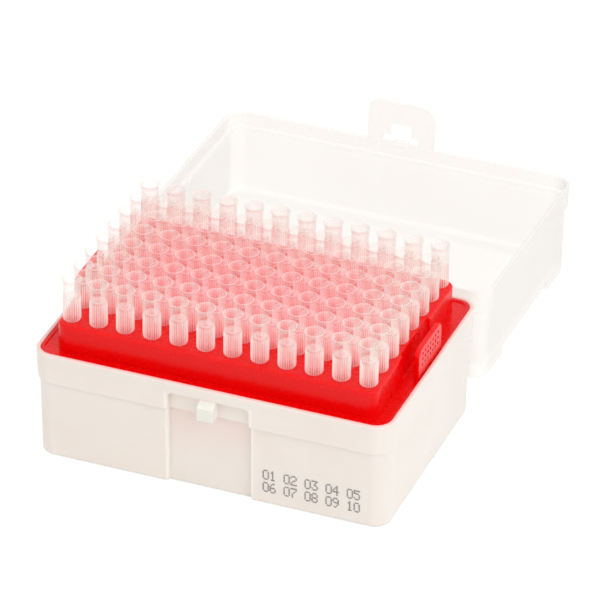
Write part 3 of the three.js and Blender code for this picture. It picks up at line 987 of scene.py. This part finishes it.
def lid_piece(material):
    nubs = mirrored_pair(
        (LID_INNER[0] - NUB_DEPTH, -NUB_HALF, LID_LEDGE_Z),
        (LID_INNER[0] + 0.6, NUB_HALF, LID_LEDGE_Z + NUB_HEIGHT), 0.3,
    )
    window_bump = block(
        (-BUMP_HALF, -LID_OUTER[1] - BUMP_PROUD, LID_RIM_Z - 0.8),
        (BUMP_HALF, 0.25 - LID_RIM[1], LID_RIM_Z + 1.6), 0.6,
    )
    hinge_arms = [
        block(
            (station - BARREL_HALF, LID_OUTER[1] - 0.5, LID_RIM_Z),
            (station + BARREL_HALF, HINGE_Y, HINGE_Z + ARM_RISE), 0.2,
        )
        for station in HINGE_STATIONS
    ]
    shell = cut(lid_shell(), *lid_openings())
    shell = add(shell, latch_tab(), *nubs)
    shell = add(shell, window_bump, *hinge_arms)
    for station in HINGE_STATIONS:
        for radius, half in ((BARREL_RADIUS, BARREL_HALF), (PIN_RADIUS, BARREL_HALF + PIN_LENGTH)):
            shell = add(shell, rod(radius, station - half, station + half, HINGE_Y, HINGE_Z, 0.2))
    axis = Matrix.Translation((0, HINGE_Y, HINGE_Z))
    swing = axis @ Matrix.Rotation(-OPEN_ANGLE, 4, "X") @ axis.inverted()
    let_light_through(piece(shell, "lid_cover", "lid", material, ["lid"], swing))


# ------------------------------------------------------------ printed numbers

PRINT_LINES = ("01 02 03 04 05", "06 07 08 09 10")
DIGITS = {
    "0": "01110 10001 10001 10001 10001 10001 01110",
    "1": "00100 01100 00100 00100 00100 00100 01110",
    "2": "01110 10001 00001 00110 01000 10000 11111",
    "3": "11111 00010 00100 00110 00001 10001 01110",
    "4": "00010 00110 01010 10010 11111 00010 00010",
    "5": "11111 10000 11110 00001 00001 10001 01110",
    "6": "00110 01000 10000 11110 10001 10001 01110",
    "7": "11111 00001 00010 00100 01000 01000 01000",
    "8": "01110 10001 10001 01110 10001 10001 01110",
    "9": "01110 10001 10001 01111 00001 00010 01100",
}
PRINT_LEFT = 18.1
PRINT_BASELINES = (9.2, 4.6)
CHARACTER_PITCH = 2.33
DOT_PITCH = (0.42, 0.53)
DOT_RADIUS = 0.27
DOT_THICKNESS = 0.03
DOT_LIFT = 0.012


def dot_places():
    """How far along and up the front wall each dot of the two lines is."""
    for text, baseline in zip(PRINT_LINES, PRINT_BASELINES):
        for place, character in enumerate(text):
            rows = DIGITS.get(character, "").split()
            for up, row in enumerate(reversed(rows)):
                for along, dot in enumerate(row):
                    if dot == "1":
                        x = PRINT_LEFT + place * CHARACTER_PITCH + along * DOT_PITCH[0]
                        yield x, baseline + up * DOT_PITCH[1]


def printed_numbers(material):
    """Two lines of plain numbers in dots of ink, lying on the front wall."""
    slope = (BODY_TOP[1] - BODY_FOOT[1]) / COLLAR_FOOT_Z
    tilt = Matrix.Rotation(math.pi / 2 + math.atan(slope), 4, "X")
    bm = bmesh.new()
    for x, z in dot_places():
        y = -(BODY_FOOT[1] + slope * z) - DOT_LIFT
        bmesh.ops.create_cone(
            bm, cap_ends=True, segments=10, radius1=DOT_RADIUS, radius2=DOT_RADIUS * 0.8,
            depth=DOT_THICKNESS, matrix=Matrix.Translation((x, y, z)) @ tilt,
        )
    piece(bm, "printed_numbers", "box", material)


# ------------------------------------------------------------ studio

WHITE = (1, 1, 1, 1)
SOFT_LIGHT = 0.78
LAMP_SIZE = 0.8
LAMP_TARGET = Vector((0, 0.03, 0.03))
FLOOR_DROP = 0.0003


def seen_rays(tree):
    """1 for rays that show the background: from the camera, in gloss and through glass."""
    rays = new_node(tree, "ShaderNodeLightPath").outputs
    total = rays["Is Camera Ray"]
    for name in ("Is Glossy Ray", "Is Transmission Ray"):
        total = new_node(tree, "ShaderNodeMath", {0: total, 1: rays[name]}, operation="MAXIMUM").outputs[0]
    return total


def studio_floor():
    """A pale floor that shows as white, and keeps the object's shadow."""
    bpy.ops.mesh.primitive_plane_add(size=6, location=(0, 0, -FLOOR_DROP))
    floor = bpy.context.object
    floor.name = "studio_floor"
    material = bpy.data.materials.new("studio_floor")
    material.use_nodes = True
    tree = material.node_tree
    tree.nodes.clear()
    grain = new_node(tree, "ShaderNodeTexNoise", {"Scale": 3.0}).outputs["Fac"]
    tone = new_node(tree, "ShaderNodeMapRange", {"To Min": 0.78, "To Max": 0.82, "Value": grain}).outputs[0]
    lit = new_node(tree, "ShaderNodeBsdfDiffuse", {"Color": tone}).outputs[0]
    seen = new_node(tree, "ShaderNodeBsdfDiffuse", {"Color": (0.35, 0.35, 0.35, 1)}).outputs[0]
    glow = new_node(tree, "ShaderNodeEmission", {"Strength": 0.78}).outputs[0]
    glowing = new_node(tree, "ShaderNodeAddShader", {0: seen, 1: glow}).outputs[0]
    choice = new_node(tree, "ShaderNodeMixShader", {0: seen_rays(tree), 1: lit, 2: glowing}).outputs[0]
    new_node(tree, "ShaderNodeOutputMaterial", {"Surface": choice})
    floor.data.materials.append(material)


def studio_world():
    """Even soft light, and plain white wherever the background shows."""
    world = bpy.data.worlds.new("studio")
    world.use_nodes = True
    tree = world.node_tree
    light = tree.nodes["Background"]
    light.inputs["Color"].default_value = WHITE
    light.inputs["Strength"].default_value = SOFT_LIGHT
    white = new_node(tree, "ShaderNodeBackground", {"Color": WHITE, "Strength": 1.0}).outputs[0]
    choice = new_node(tree, "ShaderNodeMixShader", {0: seen_rays(tree), 1: light.outputs[0], 2: white})
    tree.links.new(choice.outputs[0], tree.nodes["World Output"].inputs["Surface"])
    bpy.context.scene.world = world


def area_lamp(name, place, power, color):
    """A soft square lamp aimed at the box."""
    data = bpy.data.lights.new(name, "AREA")
    data.size = LAMP_SIZE
    data.energy = power
    data.color = color
    lamp = linked_object(name, data)
    lamp.location = place
    lamp.rotation_euler = (LAMP_TARGET - Vector(place)).to_track_quat("-Z", "Y").to_euler()


def camera():
    """A long lens from the right of the front, above."""
    azimuth, elevation, roll = math.radians(20.92), math.radians(31.62), math.radians(0.81)
    distance = 1.68685
    target = Vector((0.01486, -0.00097, 0.05175))
    back = Vector((
        math.sin(azimuth) * math.cos(elevation),
        -math.cos(azimuth) * math.cos(elevation),
        math.sin(elevation),
    ))
    data = bpy.data.cameras.new("camera")
    data.lens = 323.85
    data.sensor_width = 36
    made = linked_object("camera", data)
    made.location = target + back * distance
    upright = back.to_track_quat("Z", "Y").to_matrix()
    made.rotation_euler = (upright @ Matrix.Rotation(roll, 3, "Z")).to_euler()
    bpy.context.scene.camera = made


# ------------------------------------------------------------ the scene

camera()
studio_world()
studio_floor()
area_lamp("key", (0.78, -0.4, 0.7), 4.0, (1, 0.99, 0.98))
area_lamp("top", (0, 0.35, 1.2), 0.8, (1, 1, 1))
area_lamp("fill", (-0.6, -0.9, 0.4), 1.3, (1, 0.86, 0.72))
bpy.context.scene.view_settings.view_transform = "Standard"

base_piece(base_plastic())
red_plastic = rack_plastic()
rack_piece(red_plastic)
finger_tabs_piece(red_plastic)
tip_pieces(tip_plastic())
lid_piece(lid_plastic())
printed_numbers(print_ink())
